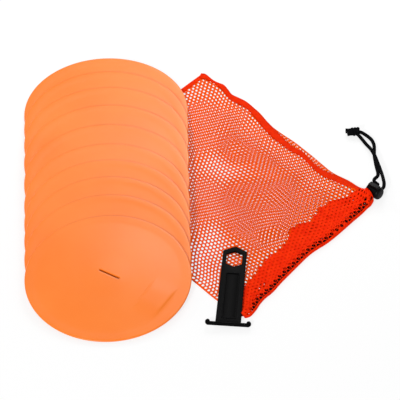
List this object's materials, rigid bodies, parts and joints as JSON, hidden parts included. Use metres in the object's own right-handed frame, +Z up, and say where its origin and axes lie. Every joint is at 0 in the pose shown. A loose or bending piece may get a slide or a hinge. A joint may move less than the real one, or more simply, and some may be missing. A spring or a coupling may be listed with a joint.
{
  "type": "flat marker disc set",
  "caption": "Fanned row of flat round rubber marker discs with a slit in each, a carry blade with a finger hole, and a mesh drawstring bag with its cord lock.",
  "frame": {"origin": "on the floor, under the middle of the box round the discs, the blade and the bag with its drawcord; the cord's free tails, its lock and its knot are left out", "axes": "+Y runs back along the row of discs, away from the top disc; +X runs right, towards the bag; +Z is up from the floor"},
  "size_m": [0.4146, 0.4752, 0.0213],
  "materials": {
    "disc": "satin moulded rubber",
    "net": "knitted polyester mesh",
    "tape": "folded mesh and woven tape",
    "cord": "braided cord",
    "black_plastic": "satin moulded plastic",
    "spring": "bright wire"
  },
  "bodies": {
    "bag": {"net_lower": "net", "net_upper": "net", "bottom_binding": "tape", "side_binding": "tape", "hem_lower": "tape", "hem_upper": "tape", "drawcord": "cord", "cord_tail_left": "cord", "cord_tail_right": "cord", "end_knot": "cord"},
    "disc_01": {"disc_01": "disc"},
    "disc_02": {"disc_02": "disc"},
    "disc_03": {"disc_03": "disc"},
    "disc_04": {"disc_04": "disc"},
    "disc_05": {"disc_05": "disc"},
    "disc_06": {"disc_06": "disc"},
    "disc_07": {"disc_07": "disc"},
    "disc_08": {"disc_08": "disc"},
    "disc_09": {"disc_09": "disc"},
    "disc_10": {"disc_10": "disc"},
    "carrier": {"carrier": "black_plastic"},
    "cord_lock": {"lock_barrel": "black_plastic", "lock_spring": "spring"},
    "lock_button": {"lock_plunger": "black_plastic"}
  },
  "joints": [
    {"name": "lift_disc_01", "type": "slide", "parent": "bag", "child": "disc_01", "axis": [0, 0, 1], "range_m": [0, 0.04]},
    {"name": "lift_disc_02", "type": "slide", "parent": "disc_01", "child": "disc_02", "axis": [0, 0, 1], "range_m": [0, 0.04]},
    {"name": "lift_disc_03", "type": "slide", "parent": "disc_02", "child": "disc_03", "axis": [0, 0, 1], "range_m": [0, 0.04]},
    {"name": "lift_disc_04", "type": "slide", "parent": "disc_03", "child": "disc_04", "axis": [0, 0, 1], "range_m": [0, 0.04]},
    {"name": "lift_disc_05", "type": "slide", "parent": "disc_04", "child": "disc_05", "axis": [0, 0, 1], "range_m": [0, 0.04]},
    {"name": "lift_disc_06", "type": "slide", "parent": "disc_05", "child": "disc_06", "axis": [0, 0, 1], "range_m": [0, 0.04]},
    {"name": "lift_disc_07", "type": "slide", "parent": "disc_06", "child": "disc_07", "axis": [0, 0, 1], "range_m": [0, 0.04]},
    {"name": "lift_disc_08", "type": "slide", "parent": "disc_07", "child": "disc_08", "axis": [0, 0, 1], "range_m": [0, 0.04]},
    {"name": "lift_disc_09", "type": "slide", "parent": "disc_08", "child": "disc_09", "axis": [0, 0, 1], "range_m": [0, 0.04]},
    {"name": "lift_disc_10", "type": "slide", "parent": "disc_09", "child": "disc_10", "axis": [0, 0, 1], "range_m": [0, 0.04]},
    {"name": "lift_carrier", "type": "slide", "parent": "bag", "child": "carrier", "axis": [0, 0, 1], "range_m": [0, 0.06]},
    {"name": "lock_along_cord", "type": "slide", "parent": "bag", "child": "cord_lock", "axis": [0.6691, 0.7431, 0], "range_m": [0, 0.002]},
    {"name": "lock_button_press", "type": "slide", "parent": "cord_lock", "child": "lock_button", "axis": [0, 0, -1], "range_m": [0, 0.0017], "stiffness_N_per_m": 400, "springref_m": -0.003, "deforming": ["lock_spring"]}
  ]
}
